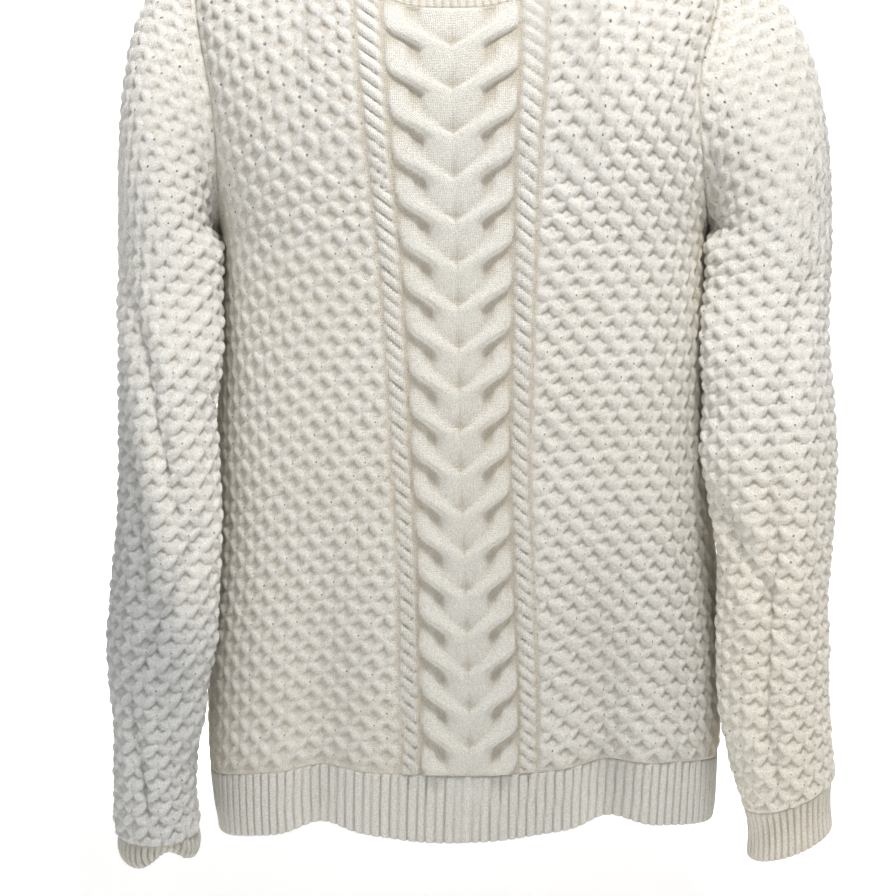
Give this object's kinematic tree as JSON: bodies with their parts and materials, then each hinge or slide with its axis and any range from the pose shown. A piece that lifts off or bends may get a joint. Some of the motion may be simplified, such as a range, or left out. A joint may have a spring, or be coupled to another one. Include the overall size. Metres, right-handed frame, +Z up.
{
  "type": "cable knit sweater",
  "caption": "Cream crew-neck pullover in a chunky cable knit, honeycomb either side of a horseshoe cable, hollow and filled out as worn, with ribbed hem, cuffs and neckband.",
  "frame": {"origin": "on the middle plane at shoulder height, where the wearer's shoulders hold the sweater up", "axes": "-Y is the front, +X is to the right as seen from the front, +Z is up towards the neck"},
  "size_m": [0.5422, 0.2075, 0.714],
  "materials": {
    "aran_knit": "matte off-white wool, cabled and honeycomb knit with a soft fuzz",
    "rib_knit": "matte off-white wool, wide flat rib"
  },
  "bodies": {
    "root": {"front": "aran_knit", "back": "aran_knit", "sleeve_left": "aran_knit", "sleeve_right": "aran_knit", "hem_rib_front": "rib_knit", "hem_rib_back": "rib_knit", "cuff_left": "rib_knit", "cuff_right": "rib_knit", "neckband": "rib_knit"}
  },
  "joints": []
}
